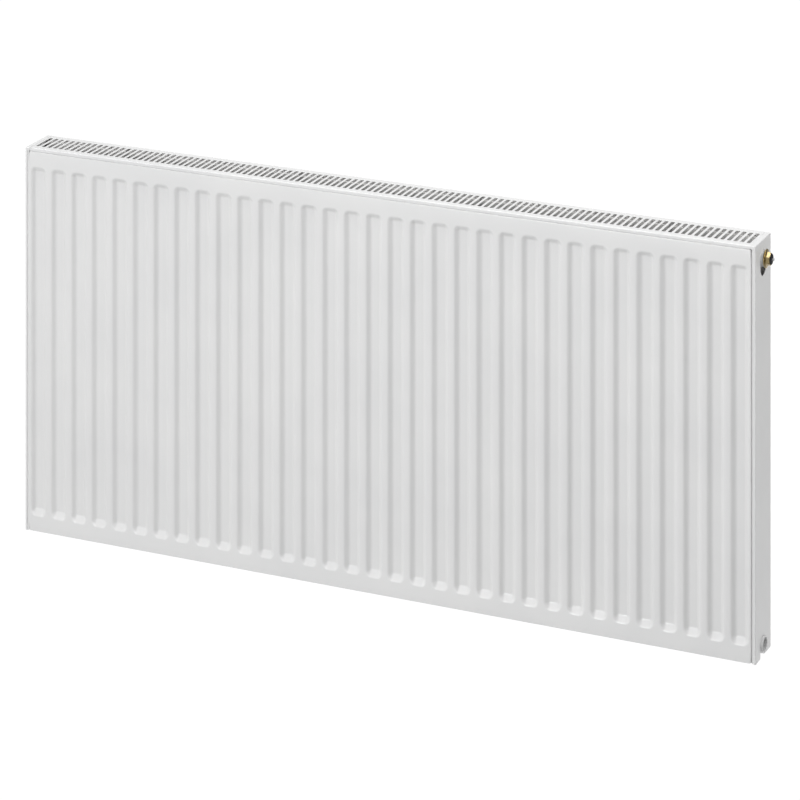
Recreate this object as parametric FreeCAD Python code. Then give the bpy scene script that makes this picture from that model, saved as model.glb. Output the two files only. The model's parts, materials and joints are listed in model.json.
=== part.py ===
"""Compact steel panel radiator with two water panels, one convector, top grille and side covers.

Millimetres. X runs along the radiator, Y from the room side (front, -Y) to the wall (+Y), Z up.
The origin is at mid-length, level with the bottom edge, on the wall-side face of the rear panel.
The functions below draw each piece about the mid-depth plane, and save() moves it to that origin.
"""
import FreeCAD, Part
import math
import os

os.makedirs("parts", exist_ok=True)

# Overall size
LENGTH = 1200.0
HEIGHT = 600.0
PANEL_DEPTH = 72.0  # front face of the front panel to the back face of the rear panel
COVER_DEPTH = 70.5  # casing: grille and side covers, front lip to back lip

# Water panels: two pressed sheets each
SHEET = 1.25
WATER_PANEL = 14.0
PRESS_RADIUS = 1.6
CORNER_RADIUS = 4.0
FACE_HALF_LENGTH = 593.7
FACE_BOTTOM = 0.3
FACE_TOP = 594.7
SEAM_WIDTH = 4.0
SEAM_BOTTOM = 0.0

# Upright grooves pressed into the sheets
GROOVE_PITCH = 36.0
OUTER_GROOVES = 33
INNER_GROOVES = 31
GROOVE_WIDTH = 26.5
FLOOR_WIDTH = 14.0
GROOVE_BOTTOM = 25.0
GROOVE_TOP = 569.0
SCOOP = 10.0  # run of the ramp at a groove's bottom end
TOP_RUN = 3.0  # run of the steep end wall at its top
TOP_THICKENING = 0.6  # keeps the steep end wall as thick as the others
MOUTH_LOW_CORNER = 10.0
MOUTH_HIGH_CORNER = 6.0
FLOOR_CORNER = 1.5
INNER_GROOVE_BOTTOM = 44.0
INNER_GROOVE_TOP = 552.0

# Convector behind the front panel
CONVECTOR_SHEET = 0.5
CONVECTOR_BOTTOM = 62.0
CONVECTOR_TOP = 540.0
CONVECTOR_REACH = 36.0
CONVECTOR_BASE = 8.0
CONVECTOR_CREST = 16.0
CONVECTOR_FOLDS = 32

# Casing sheet, grille and side covers
CASING = 0.8
LIP = 5.0  # grille lips and cover ears
COVER_LIP = 3.6
LEDGE_DROP = 1.25  # step back of the cover's edge beside the panel
LEDGE_EDGE = 594.1
COVER_TOP_FLANGE = 8.0
CASING_GAP = 0.3
SLOTS = 118
SLOT_PITCH = 10.0
SLOT_WIDTH = 6.0
SLOT_LENGTH = 47.0

# Ports: G1/2 sockets in tees
PORT_X = 558.0
PORT_FACE = 603.0
UPPER_PORT_Z = 573.0
LOWER_PORT_Z = 16.0
PORT_RADIUS = 12.0
THREAD_RADIUS = 9.5
THREAD_LENGTH = 20.0
FEED_RADIUS = 8.0
CROSS_RADIUS = 13.0
CROSS_BORE = 9.0
PORT_CLEARANCE = 0.75
SLOT_FOOT = 548.0

# Air vent and blanking plug
SEAL_THICKNESS = 1.0
SEAL_RADIUS = 11.6
FLANGE_RADIUS = 13.5
FLANGE_THICKNESS = 1.5
HEXAGON = 17.0  # across flats
HEXAGON_LENGTH = 6.5
STEM_LENGTH = 11.0
PLUG_HEAD_LENGTH = 1.6
SOCKET_KEY = 10.0  # across flats
VENT_NECK = 5.0
NOZZLE_RECESS = 1.7
NOZZLE_INSERT_RADIUS = 6.8
NOZZLE_DISC_RADIUS = 7.8
NOZZLE_DISC = 1.0
NOZZLE_GAP = 0.2
NOZZLE_CAP = 0.8
KEY_HOLE_RADIUS = 2.6
OUTLET_RADIUS = 0.7
OUTLET_DROP = 4.0  # outlet's distance below the vent's axis
GRIP_WIDTH = 1.2
GRIP_RISE = 0.6
GRIP_INNER = 3.4
GRIP_OUTER = 7.2
SPINDLE_RADIUS = 2.5
SPINDLE_SQUARE = 3.2
SPINDLE_INSIDE = 8.0
SPINDLE_OUTSIDE = 4.5
SPINDLE_SEAT = 2.0
RUNNING_GAP = 0.05
BLEED_RADIUS = 1.2

# Cover hooks and their brackets
BRACKET_X = 580.0
BRACKET_HEIGHTS = (130.0, 450.0)
BRACKET_SHEET = 1.5
BRACKET_TALL = 20.0
HOOK_WIDTH = 24.0
HOOK_DROP = 11.0
HOOK_GAP = 0.3

# Hanging lugs on the back
LUG_CENTRES = (-468.0, 468.0)
LUG_BOTTOMS = (88.0, 482.0)
LUG_TALL = 30.0
LUG_SHEET = 2.0
LUG_RISE = 9.0
LUG_FOOT = 9.0

# Grille clips
CLIP_CENTRES = (-450.0, -150.0, 150.0, 450.0)
CLIP_WIDTH = 4.0
CLIP_SHEET = 0.8
CLIP_BOTTOM = 572.0
CLIP_FOOT = 5.0
CLIP_REACH = 3.0  # past the slots' ends
CLIP_CLEARANCE = 0.5

half_length = LENGTH / 2
half_panels = PANEL_DEPTH / 2
half_casing = COVER_DEPTH / 2
water_gap_y = half_panels - WATER_PANEL  # inner faces of the two water panels


def vec(x, y, z):
    return FreeCAD.Vector(x, y, z)


def box(low, high):
    """Solid between two corners."""
    size = [b - a for a, b in zip(low, high)]
    return Part.makeBox(size[0], size[1], size[2], vec(*low))


def rod(radius, start, along, length):
    """Solid cylinder from a point along a direction."""
    return Part.makeCylinder(radius, length, vec(*start), vec(*along))


def joined(shapes):
    """One solid from touching shapes."""
    whole = shapes[0]
    if len(shapes) > 1:
        whole = whole.fuse(shapes[1:])
    return whole.removeSplitter()


def save(shape, name):
    shape.translated(vec(0, -half_panels, 0)).exportStep("parts/" + name + ".step")


def mirrored(shape, normal, at=0.0):
    base = vec(*[at * part for part in normal])
    return shape.mirror(base, vec(*normal))


def rounded_block(half_x, low_z, high_z, front_y, back_y, corner, edge):
    """Pressed-tray form: upright block with round corners and a rounded rim on its front face."""
    block = box((-half_x, front_y, low_z), (half_x, back_y, high_z))
    upright = [e for e in block.Edges if abs(e.CenterOfMass.y - (front_y + back_y) / 2) < 0.01]
    block = block.makeFillet(corner, upright)
    if edge > 0:
        rim = [e for e in block.Edges if abs(e.CenterOfMass.y - front_y) < 0.01]
        block = block.makeFillet(edge, rim)
    return block


def slot_outline(x, y, width, bottom, top, low_corner, high_corner):
    """Closed upright outline with round corners in the plane of constant y."""
    half = width / 2
    corners = [(1, 1, high_corner), (-1, 1, high_corner), (-1, -1, low_corner), (1, -1, low_corner)]
    arcs = []
    for side, level, r in corners:
        end_z = top if level > 0 else bottom
        d = r * (1 - math.sqrt(0.5))
        flank = vec(x + side * half, y, end_z - level * r)
        middle = vec(x + side * (half - d), y, end_z - level * d)
        crown = vec(x + side * (half - r), y, end_z)
        arcs.append([flank, middle, crown] if side == level else [crown, middle, flank])
    edges = []
    for arc, following in zip(arcs, arcs[1:] + arcs[:1]):
        edges.append(Part.Arc(*arc).toShape())
        edges.append(Part.makeLine(arc[2], following[0]))
    return Part.Wire(edges)


def groove(x, face_y, bottom, top, low_run, high_run):
    """Solid that fills one groove: wide at the face, narrow at the floor."""
    floor_y = face_y + WATER_PANEL / 2 - SHEET
    mouth = slot_outline(x, face_y, GROOVE_WIDTH, bottom, top, MOUTH_LOW_CORNER, MOUTH_HIGH_CORNER)
    floor = slot_outline(
        x, floor_y, FLOOR_WIDTH, bottom + low_run, top - high_run, FLOOR_CORNER, FLOOR_CORNER
    )
    return Part.makeLoft([mouth, floor], True, True)


def panel_sheet(groove_count, bottom, top, low_run, high_run):
    """Pressed sheet whose face looks to -Y and whose seam lies at the panel's mid-plane."""
    face_y = -half_panels
    seam_y = face_y + WATER_PANEL / 2
    inner_half = FACE_HALF_LENGTH - SHEET
    shell = rounded_block(
        FACE_HALF_LENGTH, FACE_BOTTOM, FACE_TOP, face_y, seam_y, CORNER_RADIUS, PRESS_RADIUS
    )
    seam = rounded_block(
        FACE_HALF_LENGTH + SEAM_WIDTH, SEAM_BOTTOM, FACE_TOP + SEAM_WIDTH,
        seam_y - SHEET, seam_y, CORNER_RADIUS + SEAM_WIDTH, 0,
    )
    hollow = rounded_block(
        inner_half, FACE_BOTTOM + SHEET, FACE_TOP - SHEET,
        face_y + SHEET, seam_y + 1, CORNER_RADIUS - SHEET, PRESS_RADIUS - SHEET,
    )
    tray = shell.fuse(seam).cut(hollow)
    first = -GROOVE_PITCH * (groove_count - 1) / 2
    centres = [first + GROOVE_PITCH * i for i in range(groove_count)]
    crown = top + TOP_THICKENING
    pressings = [groove(x, face_y + SHEET, bottom, crown, low_run, high_run) for x in centres]
    grooves = [groove(x, face_y, bottom, top, low_run, high_run) for x in centres]
    return tray.fuse(pressings).cut(Part.makeCompound(grooves)).removeSplitter()


def with_waterways(inner_sheet):
    """Inner sheet with the four holes that open into the tees."""
    holes = []
    for x in (-PORT_X, PORT_X):
        for z in (LOWER_PORT_Z, UPPER_PORT_Z):
            holes.append(rod(CROSS_BORE, (x, -half_panels, z), (0, 1, 0), PANEL_DEPTH / 2))
    return inner_sheet.cut(Part.makeCompound(holes))


def make_water_panels():
    outer = panel_sheet(OUTER_GROOVES, GROOVE_BOTTOM, GROOVE_TOP, SCOOP, TOP_RUN)
    run = (GROOVE_WIDTH - FLOOR_WIDTH) / 2
    inner = panel_sheet(INNER_GROOVES, INNER_GROOVE_BOTTOM, INNER_GROOVE_TOP, run, run)
    mid_plane = -half_panels + WATER_PANEL / 2
    inner = with_waterways(mirrored(inner, (0, 1, 0), mid_plane))
    save(outer, "front_outer_sheet")
    save(inner, "front_inner_sheet")
    save(mirrored(inner, (0, 1, 0)), "rear_inner_sheet")
    save(mirrored(outer, (0, 1, 0)), "rear_outer_sheet")


def make_convector():
    """Folded sheet: flat bases on the front panel's lands, crests towards the rear panel."""
    base_y = -water_gap_y
    crest_y = base_y + CONVECTOR_REACH
    t = CONVECTOR_SHEET
    half_base = CONVECTOR_BASE / 2
    half_crest = CONVECTOR_CREST / 2
    near = []
    far = []
    first = -GROOVE_PITCH * (CONVECTOR_FOLDS - 1) / 2
    for i in range(CONVECTOR_FOLDS):
        land = first + GROOVE_PITCH * i
        if i > 0:
            crest = land - GROOVE_PITCH / 2
            near.append((crest - half_crest + t, crest_y - t))
            near.append((crest + half_crest - t, crest_y - t))
            far.append((crest - half_crest, crest_y))
            far.append((crest + half_crest, crest_y))
        near.append((land - half_base, base_y))
        near.append((land + half_base, base_y))
        far.append((land - half_base + t, base_y + t))
        far.append((land + half_base - t, base_y + t))
    outline = near + far[::-1]
    points = [vec(x, y, CONVECTOR_BOTTOM) for x, y in outline]
    face = Part.Face(Part.makePolygon(points + points[:1]))
    save(face.extrude(vec(0, 0, CONVECTOR_TOP - CONVECTOR_BOTTOM)), "convector")


def make_port(name, side, z):
    """Tee: threaded socket along X, cross tube between the two water panels."""
    socket = rod(PORT_RADIUS, (PORT_X, 0, z), (1, 0, 0), PORT_FACE - PORT_X)
    cross = rod(CROSS_RADIUS, (PORT_X, -water_gap_y, z), (0, 1, 0), 2 * water_gap_y)
    cross_bore = rod(CROSS_BORE, (PORT_X, -half_panels, z), (0, 1, 0), PANEL_DEPTH)
    feed = rod(FEED_RADIUS, (PORT_X, 0, z), (1, 0, 0), PORT_FACE - PORT_X)
    thread = rod(THREAD_RADIUS, (PORT_FACE - THREAD_LENGTH, 0, z), (1, 0, 0), THREAD_LENGTH + 1)
    tee = joined([socket, cross]).cut([cross_bore, feed, thread])
    save(tee if side > 0 else mirrored(tee, (1, 0, 0)), name)


def make_grille():
    """Slotted top sheet with front and back lips."""
    half_x = half_length - COVER_TOP_FLANGE - CASING_GAP
    top = box((-half_x, -half_casing, HEIGHT - CASING), (half_x, half_casing, HEIGHT))
    lip = box((-half_x, -half_casing, HEIGHT - LIP), (half_x, -half_casing + CASING, HEIGHT))
    first = -SLOT_PITCH * (SLOTS - 1) / 2
    slots = []
    for i in range(SLOTS):
        x = first + SLOT_PITCH * i
        low = (x - SLOT_WIDTH / 2, -SLOT_LENGTH / 2, HEIGHT - 2 * CASING)
        high = (x + SLOT_WIDTH / 2, SLOT_LENGTH / 2, HEIGHT + CASING)
        slots.append(box(low, high))
    sheet = joined([top, lip, mirrored(lip, (0, 1, 0))]).cut(Part.makeCompound(slots))
    save(sheet, "top_grille")


def make_grille_clips():
    """Spring strips under the grille that grip the two water panels from inside."""
    clips = []
    slot_end = SLOT_LENGTH / 2
    for x in CLIP_CENTRES:
        low_x = x - CLIP_WIDTH / 2
        high_x = x + CLIP_WIDTH / 2
        under = HEIGHT - CASING
        leg_y = water_gap_y - CLIP_CLEARANCE
        tab_end = slot_end + CLIP_REACH
        foot_end = leg_y - CLIP_FOOT
        tab = box((low_x, leg_y - CLIP_SHEET, under - CLIP_SHEET), (high_x, tab_end, under))
        leg = box((low_x, leg_y - CLIP_SHEET, CLIP_BOTTOM), (high_x, leg_y, under))
        foot = box((low_x, foot_end, CLIP_BOTTOM), (high_x, leg_y, CLIP_BOTTOM + CLIP_SHEET))
        clip = joined([tab, leg, foot])
        clips += [clip, mirrored(clip, (0, 1, 0))]
    save(Part.makeCompound(clips), "grille_clips")


def right_cover():
    """Folded cover: side, front and back lips, and a flange over the top."""
    outer = half_length
    inner = outer - CASING
    side = box((inner, -half_casing, 0), (outer, half_casing, HEIGHT))
    flange_x = outer - COVER_TOP_FLANGE
    lip_y = -half_casing + CASING
    flange = box((flange_x, -half_casing, HEIGHT - CASING), (outer, half_casing, HEIGHT))
    lip_x = outer - COVER_LIP
    ledge_y = -half_casing + LEDGE_DROP
    ledge_top = HEIGHT - CASING
    lip = box((lip_x, -half_casing, 0), (outer, lip_y, HEIGHT))
    step = box((lip_x, -half_casing, 0), (lip_x + CASING, ledge_y + CASING, ledge_top))
    ledge = box((LEDGE_EDGE, ledge_y, 0), (lip_x + CASING, ledge_y + CASING, ledge_top))
    lip = joined([lip, step, ledge])
    ear = box((flange_x, -half_casing, HEIGHT - LIP), (outer, lip_y, HEIGHT))
    back_lip = mirrored(lip, (0, 1, 0))
    back_ear = mirrored(ear, (0, 1, 0))
    cover = joined([side, flange, lip, ear, back_lip, back_ear])
    r = PORT_RADIUS + PORT_CLEARANCE
    upper = rod(r, (inner - 1, 0, UPPER_PORT_Z), (1, 0, 0), CASING + 2)
    slot_foot = rod(r, (inner - 1, 0, SLOT_FOOT + r), (1, 0, 0), CASING + 2)
    slot = box((inner - 1, -r, SLOT_FOOT + r), (outer + 1, r, UPPER_PORT_Z))
    notch_end = rod(r, (inner - 1, 0, LOWER_PORT_Z), (1, 0, 0), CASING + 2)
    notch = box((inner - 1, -r, -1), (outer + 1, r, LOWER_PORT_Z))
    return cover.cut([upper, slot_foot, slot, notch_end, notch])


def right_hooks():
    """Strips inside the cover that drop over the brackets."""
    hooks = []
    for z in BRACKET_HEIGHTS:
        top = z + BRACKET_TALL + HOOK_GAP
        tip = BRACKET_X - HOOK_GAP
        cover_x = half_length - CASING
        half_hook = HOOK_WIDTH / 2
        arm = box((tip - BRACKET_SHEET, -half_hook, top), (cover_x, half_hook, top + BRACKET_SHEET))
        drop = box((tip - BRACKET_SHEET, -half_hook, top - HOOK_DROP), (tip, half_hook, top))
        foot = box((cover_x - BRACKET_SHEET, -half_hook, top - HOOK_DROP), (cover_x, half_hook, top))
        hooks.append(joined([arm, drop, foot]))
    return Part.makeCompound(hooks)


def right_brackets():
    """Bars welded between the water panels, which carry the cover's hooks."""
    bars = []
    for z in BRACKET_HEIGHTS:
        high = (BRACKET_X + BRACKET_SHEET, water_gap_y, z + BRACKET_TALL)
        bars.append(box((BRACKET_X, -water_gap_y, z), high))
    return Part.makeCompound(bars)


def save_both_sides(shape, name):
    save(shape, "right_" + name)
    save(mirrored(shape, (1, 0, 0)), "left_" + name)


def make_side_covers():
    save_both_sides(right_cover(), "side_cover")
    save_both_sides(right_hooks(), "cover_hooks")
    save_both_sides(right_brackets(), "cover_brackets")


def hexagon(across_flats, start, length):
    """Hexagonal prism along +X."""
    r = across_flats / 2 / math.cos(math.pi / 6)
    x, y, z = start
    angles = [(k + 0.5) * math.pi / 3 for k in range(6)]
    corners = [vec(x, y + r * math.cos(a), z + r * math.sin(a)) for a in angles]
    face = Part.Face(Part.makePolygon(corners + corners[:1]))
    return face.extrude(vec(length, 0, 0))


def make_seal(name, side):
    """Flat ring between the socket's end and the plug's flange."""
    ring = rod(SEAL_RADIUS, (PORT_FACE, 0, UPPER_PORT_Z), (1, 0, 0), SEAL_THICKNESS)
    hole = rod(THREAD_RADIUS, (PORT_FACE - 1, 0, UPPER_PORT_Z), (1, 0, 0), SEAL_THICKNESS + 2)
    seal = ring.cut(hole)
    save(seal if side > 0 else mirrored(seal, (1, 0, 0)), name)


def plug(z, hexagon_length):
    """Threaded stem, flange and hexagon of a port plug that faces +X."""
    flange_x = PORT_FACE + SEAL_THICKNESS
    stem = rod(THREAD_RADIUS, (flange_x - STEM_LENGTH, 0, z), (1, 0, 0), STEM_LENGTH)
    flange = rod(FLANGE_RADIUS, (flange_x, 0, z), (1, 0, 0), FLANGE_THICKNESS)
    head = hexagon(HEXAGON, (flange_x + FLANGE_THICKNESS, 0, z), hexagon_length)
    return joined([stem, flange, head])


def make_air_vent():
    """Vent plug with a recessed neck for the swivel nozzle and a bore for the key spindle."""
    z = UPPER_PORT_Z
    inner_x = PORT_FACE + SEAL_THICKNESS - STEM_LENGTH
    head_x = PORT_FACE + SEAL_THICKNESS + FLANGE_THICKNESS + HEXAGON_LENGTH
    seat_x = head_x - SPINDLE_INSIDE - SPINDLE_SEAT
    recess_x = head_x - NOZZLE_RECESS
    recess = rod(NOZZLE_INSERT_RADIUS + NOZZLE_GAP, (recess_x, 0, z), (1, 0, 0), NOZZLE_RECESS + 1)
    neck = rod(VENT_NECK, (recess_x, 0, z), (1, 0, 0), NOZZLE_RECESS)
    bore = rod(SPINDLE_RADIUS + RUNNING_GAP, (seat_x, 0, z), (1, 0, 0), head_x - seat_x + 1)
    bleed = rod(BLEED_RADIUS, (inner_x - 1, 0, z), (1, 0, 0), seat_x - inner_x + 2)
    body = joined([plug(z, HEXAGON_LENGTH).cut(recess), neck]).cut([bore, bleed])
    save(body, "vent_plug_body")

    ring_x = recess_x + NOZZLE_GAP
    disc_x = head_x + NOZZLE_GAP
    face_x = disc_x + NOZZLE_DISC
    insert = rod(NOZZLE_INSERT_RADIUS, (ring_x, 0, z), (1, 0, 0), disc_x - ring_x)
    disc = rod(NOZZLE_DISC_RADIUS, (disc_x, 0, z), (1, 0, 0), NOZZLE_DISC)
    half_grip = GRIP_WIDTH / 2
    grip_low = (face_x - GRIP_RISE, -half_grip, z + GRIP_INNER)
    grip = box(grip_low, (face_x + GRIP_RISE, half_grip, z + GRIP_OUTER))
    neck_bore = rod(VENT_NECK + RUNNING_GAP, (ring_x - 1, 0, z), (1, 0, 0), face_x - NOZZLE_CAP - ring_x + 1)
    key_hole = rod(KEY_HOLE_RADIUS, (ring_x, 0, z), (1, 0, 0), HEXAGON_LENGTH)
    outlet = rod(OUTLET_RADIUS, (ring_x, 0, z - OUTLET_DROP), (1, 0, 0), HEXAGON_LENGTH)
    nozzle = joined([insert, disc, grip]).cut([neck_bore, key_hole, outlet])
    save(nozzle, "vent_swivel_nozzle")

    screw = rod(SPINDLE_RADIUS, (head_x - SPINDLE_INSIDE, 0, z), (1, 0, 0), SPINDLE_INSIDE)
    half_key = SPINDLE_SQUARE / 2
    square = box((head_x, -half_key, z - half_key), (head_x + SPINDLE_OUTSIDE, half_key, z + half_key))
    save(joined([screw, square]), "vent_spindle")


def make_blanking_plug():
    z = UPPER_PORT_Z
    inner_x = PORT_FACE + SEAL_THICKNESS - STEM_LENGTH
    socket = hexagon(SOCKET_KEY, (inner_x + 4, 0, z), 2 * STEM_LENGTH)
    body = plug(z, PLUG_HEAD_LENGTH).cut(socket)
    save(mirrored(body, (1, 0, 0)), "blanking_plug")


def make_hanging_lugs():
    """Bridge straps welded on the lands of the rear sheet, open upwards and downwards."""
    for x, side in zip(LUG_CENTRES, ("left", "right")):
        for z, level in zip(LUG_BOTTOMS, ("lower", "upper")):
            half_span = GROOVE_PITCH / 2 + LUG_FOOT / 2
            half_bridge = GROOVE_PITCH / 2 - LUG_FOOT / 2
            back = half_panels
            whole = box((x - half_bridge, back, z), (x + half_bridge, back + LUG_RISE, z + LUG_TALL))
            foot = box((x - half_span, back, z), (x + half_span, back + LUG_SHEET, z + LUG_TALL))
            hollow = box(
                (x - half_bridge + LUG_SHEET, back - 1, z - 1),
                (x + half_bridge - LUG_SHEET, back + LUG_RISE - LUG_SHEET, z + LUG_TALL + 1),
            )
            save(joined([whole, foot]).cut(hollow), level + "_" + side + "_hanging_lug")


make_water_panels()
make_convector()
for level, port_z in (("upper", UPPER_PORT_Z), ("lower", LOWER_PORT_Z)):
    make_port(level + "_left_port", -1, port_z)
    make_port(level + "_right_port", 1, port_z)
make_grille()
make_grille_clips()
make_side_covers()
make_seal("vent_plug_seal", 1)
make_seal("blanking_plug_seal", -1)
make_air_vent()
make_blanking_plug()
make_hanging_lugs()
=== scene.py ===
"""Looks of the panel radiator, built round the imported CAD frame. Metres, in the frame's axes."""
import json
import math

import bmesh
import bpy
from mathutils import Matrix, Vector


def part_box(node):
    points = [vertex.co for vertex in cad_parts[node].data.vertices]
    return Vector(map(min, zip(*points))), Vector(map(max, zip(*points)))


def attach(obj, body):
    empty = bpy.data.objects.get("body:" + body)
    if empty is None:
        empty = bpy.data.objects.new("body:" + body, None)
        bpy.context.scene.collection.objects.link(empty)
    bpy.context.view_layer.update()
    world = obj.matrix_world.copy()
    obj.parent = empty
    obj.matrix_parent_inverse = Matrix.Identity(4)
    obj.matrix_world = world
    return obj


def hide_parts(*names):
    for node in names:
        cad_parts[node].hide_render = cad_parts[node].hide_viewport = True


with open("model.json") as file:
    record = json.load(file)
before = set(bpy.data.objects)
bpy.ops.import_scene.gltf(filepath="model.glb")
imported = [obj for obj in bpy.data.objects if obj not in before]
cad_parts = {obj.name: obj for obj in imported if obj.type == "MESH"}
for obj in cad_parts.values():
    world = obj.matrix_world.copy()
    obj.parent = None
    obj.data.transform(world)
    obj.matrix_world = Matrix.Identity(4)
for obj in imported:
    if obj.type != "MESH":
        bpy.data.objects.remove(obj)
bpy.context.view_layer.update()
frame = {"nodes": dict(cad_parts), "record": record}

MM = 0.001

# Datums read from the frame
COVER_LOW, COVER_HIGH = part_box("right_side_cover")
PANEL_LOW, PANEL_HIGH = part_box("front_outer_sheet")
GRILLE_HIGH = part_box("top_grille")[1]
PORT_LOW, PORT_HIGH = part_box("upper_right_port")
LOW_PORT_LOW, LOW_PORT_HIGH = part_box("lower_right_port")
CONVECTOR_LOW, CONVECTOR_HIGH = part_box("convector")
PLUG_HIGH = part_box("vent_plug_body")[1]
NOZZLE_LOW, NOZZLE_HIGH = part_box("vent_swivel_nozzle")
SPINDLE_LOW, SPINDLE_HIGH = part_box("vent_spindle")

HALF_LENGTH = COVER_HIGH.x
HEIGHT = COVER_HIGH.z
MID_Y = (COVER_LOW.y + COVER_HIGH.y) / 2
HALF_CASING = (COVER_HIGH.y - COVER_LOW.y) / 2
UPPER_PORT_Z = (PORT_LOW.z + PORT_HIGH.z) / 2
LOWER_PORT_Z = (LOW_PORT_LOW.z + LOW_PORT_HIGH.z) / 2

# Pressed sheets
SHEET = 1.25 * MM
SEAM_DROP = 7.0 * MM - SHEET
SEAM_WIDTH = 4.0 * MM
SEAM_STEP = 0.15 * MM
FACE_HALF = PANEL_HIGH.x - SEAM_WIDTH
FACE_BOTTOM = 0.3 * MM
FACE_TOP = PANEL_HIGH.z - SEAM_WIDTH
FACE_CORNER = 4.0 * MM
RIM_RADIUS = 1.6 * MM
GROOVES = 33
PITCH = 36.0 * MM
MOUTH_RADIUS = 15.3 * MM
FLOOR_RADIUS = 5.0 * MM
GROOVE_DEPTH = SEAM_DROP
# Share of a slope that is rounded at its ends: on the groove walls, on the scoop at the foot
WALL_EASE = 0.95
RAMP_EASE = 0.2
GROOVE_BOTTOM = 23.6 * MM
GROOVE_TOP = 572.2 * MM
SCOOP = 12.8 * MM
TOP_RUN = 10.0 * MM

# Casing
CASING = 0.8 * MM
LIP = 5.0 * MM
COVER_LIP = 3.6 * MM
LEDGE_DROP = 1.25 * MM
LEDGE_EDGE = FACE_HALF + 0.4 * MM
BEND = 1.5 * MM
SIDE_BEND = 1.3 * MM
FLANGE = 8.0 * MM
SLOTS = 118
SLOT_PITCH = 10.0 * MM
SLOT_HALF_WIDTH = 3.0 * MM
SLOT_HALF_LENGTH = 23.5 * MM
PORT_HOLE = 12.75 * MM
SLOT_FOOT = 548.0 * MM

# Threaded parts: tees, air vent and blanking plug
THREAD_PITCH = 1.8 * MM
CROSS_SETBACK = 45.0 * MM
SOCKET_DEPTH = 20.0 * MM
FLANGE_RADIUS = 13.5 * MM
FLANGE_THICKNESS = 1.5 * MM
HEX_ACROSS = 17.0 * MM
HEX_LENGTH = 6.5 * MM
NUT_OVERLAP = 0.05 * MM


# ---------------------------------------------------------------- mesh helpers

def link_mesh(name, verts, faces, smooth=True):
    """A new mesh object from points and faces."""
    mesh = bpy.data.meshes.new(name)
    mesh.from_pydata([tuple(v) for v in verts], [], faces)
    mesh.validate()
    mesh.update()
    bm = bmesh.new()
    bm.from_mesh(mesh)
    bmesh.ops.remove_doubles(bm, verts=bm.verts, dist=1e-6)
    bmesh.ops.recalc_face_normals(bm, faces=bm.faces)
    bm.to_mesh(mesh)
    bm.free()
    for polygon in mesh.polygons:
        polygon.use_smooth = smooth
    obj = bpy.data.objects.new(name, mesh)
    bpy.context.scene.collection.objects.link(obj)
    return obj


def apply_modifiers(obj):
    """Bakes the modifier stack into the mesh."""
    graph = bpy.context.evaluated_depsgraph_get()
    graph.update()
    baked = bpy.data.meshes.new_from_object(obj.evaluated_get(graph))
    obj.modifiers.clear()
    obj.data = baked
    return obj


def split_normals_by_angle(obj, degrees=35.0):
    """Smooth shading with crisp edges above an angle."""
    obj.data.shade_smooth()
    obj.data.set_sharp_from_angle(angle=math.radians(degrees))
    return obj


def weighted_normals(obj):
    """Large flat faces shade flat right up to the small rounds beside them."""
    modifier = obj.modifiers.new("weighted", "WEIGHTED_NORMAL")
    modifier.mode = "FACE_AREA"
    modifier.weight = 100
    modifier.keep_sharp = True
    return apply_modifiers(obj)


def bevelled(obj, width, segments=2, degrees=40.0):
    """Small rounds on every edge sharper than the angle."""
    bevel = obj.modifiers.new("rounds", "BEVEL")
    bevel.width = width
    bevel.segments = segments
    bevel.limit_method = "ANGLE"
    bevel.angle_limit = math.radians(degrees)
    apply_modifiers(obj)
    return weighted_normals(split_normals_by_angle(obj, 50.0))


def joined(name, pieces):
    """One object from several meshes."""
    bm = bmesh.new()
    for piece in pieces:
        bm.from_mesh(piece.data)
        bpy.data.objects.remove(piece)
    mesh = bpy.data.meshes.new(name)
    bm.to_mesh(mesh)
    bm.free()
    obj = bpy.data.objects.new(name, mesh)
    bpy.context.scene.collection.objects.link(obj)
    return obj


def mirrored_copy(obj, name, axis, at=0.0):
    """A mirror image of a piece across the plane axis = at."""
    copy = obj.copy()
    copy.data = obj.data.copy()
    copy.name = name
    copy.data.name = name
    bpy.context.scene.collection.objects.link(copy)
    scale = [1.0, 1.0, 1.0]
    scale["XYZ".index(axis)] = -1.0
    shift = [0.0, 0.0, 0.0]
    shift["XYZ".index(axis)] = 2.0 * at
    copy.data.transform(Matrix.Translation(shift) @ Matrix.Diagonal((*scale, 1.0)))
    copy.data.flip_normals()
    return copy


def rounded_path(corners, radius, steps=4):
    """A 2-D polyline whose inner corners are replaced by arcs, of one radius or one each."""
    path = [Vector(corners[0])]
    radii = radius if isinstance(radius, tuple) else (radius,) * (len(corners) - 2)
    for before, corner, after, radius in zip(corners, corners[1:], corners[2:], radii):
        here = Vector(corner)
        inward = (Vector(before) - here).normalized()
        outward = (Vector(after) - here).normalized()
        turn = math.pi - inward.angle(outward)
        reach = radius * math.tan(turn / 2)
        start = here + inward * reach
        end = here + outward * reach
        centre = here + (inward + outward).normalized() * (radius / math.cos(turn / 2))
        first = start - centre
        last = end - centre
        sweep = first.angle(last)
        for k in range(steps + 1):
            share = k / steps
            mix = (math.sin((1 - share) * sweep) * first + math.sin(share * sweep) * last) / math.sin(sweep)
            path.append(centre + mix)
    path.append(Vector(corners[-1]))
    return path


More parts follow.
